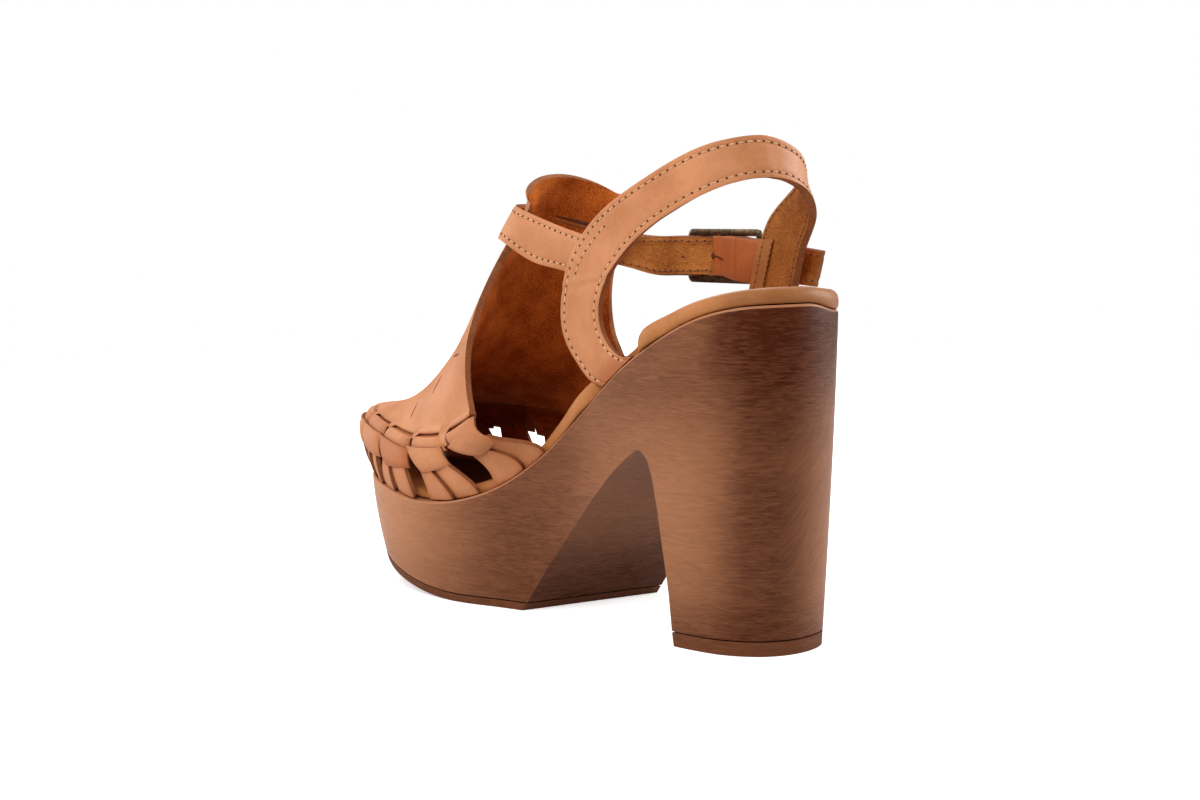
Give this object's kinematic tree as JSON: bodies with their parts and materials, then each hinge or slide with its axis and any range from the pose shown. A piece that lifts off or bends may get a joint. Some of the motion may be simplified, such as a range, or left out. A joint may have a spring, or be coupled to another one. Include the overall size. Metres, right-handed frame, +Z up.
{
  "type": "heeled sandal",
  "caption": "Right-foot platform sandal with a tall block heel, a leather vamp woven to the sole around the toe, and a buckled sling strap.",
  "frame": {"origin": "on the floor under the middle of the shoe's bounding box", "axes": "+X towards the toe, +Y towards the medial side, +Z up"},
  "size_m": [0.2412, 0.0998, 0.1776],
  "materials": {
    "stained_wood": "satin stained wood grain",
    "brown_rubber": "matt",
    "golden_leather": "smooth golden leather",
    "tan_leather": "vegetable-tanned, satin",
    "antique_brass": "darkened"
  },
  "bodies": {
    "root": {"sole_unit": "stained_wood", "outsole": "brown_rubber", "heel_lift": "brown_rubber", "insole": "golden_leather", "woven_vamp": "tan_leather", "ankle_straps": "tan_leather", "buckle_tab": "tan_leather", "buckle_frame": "antique_brass", "buckle_prong": "antique_brass"}
  },
  "joints": []
}
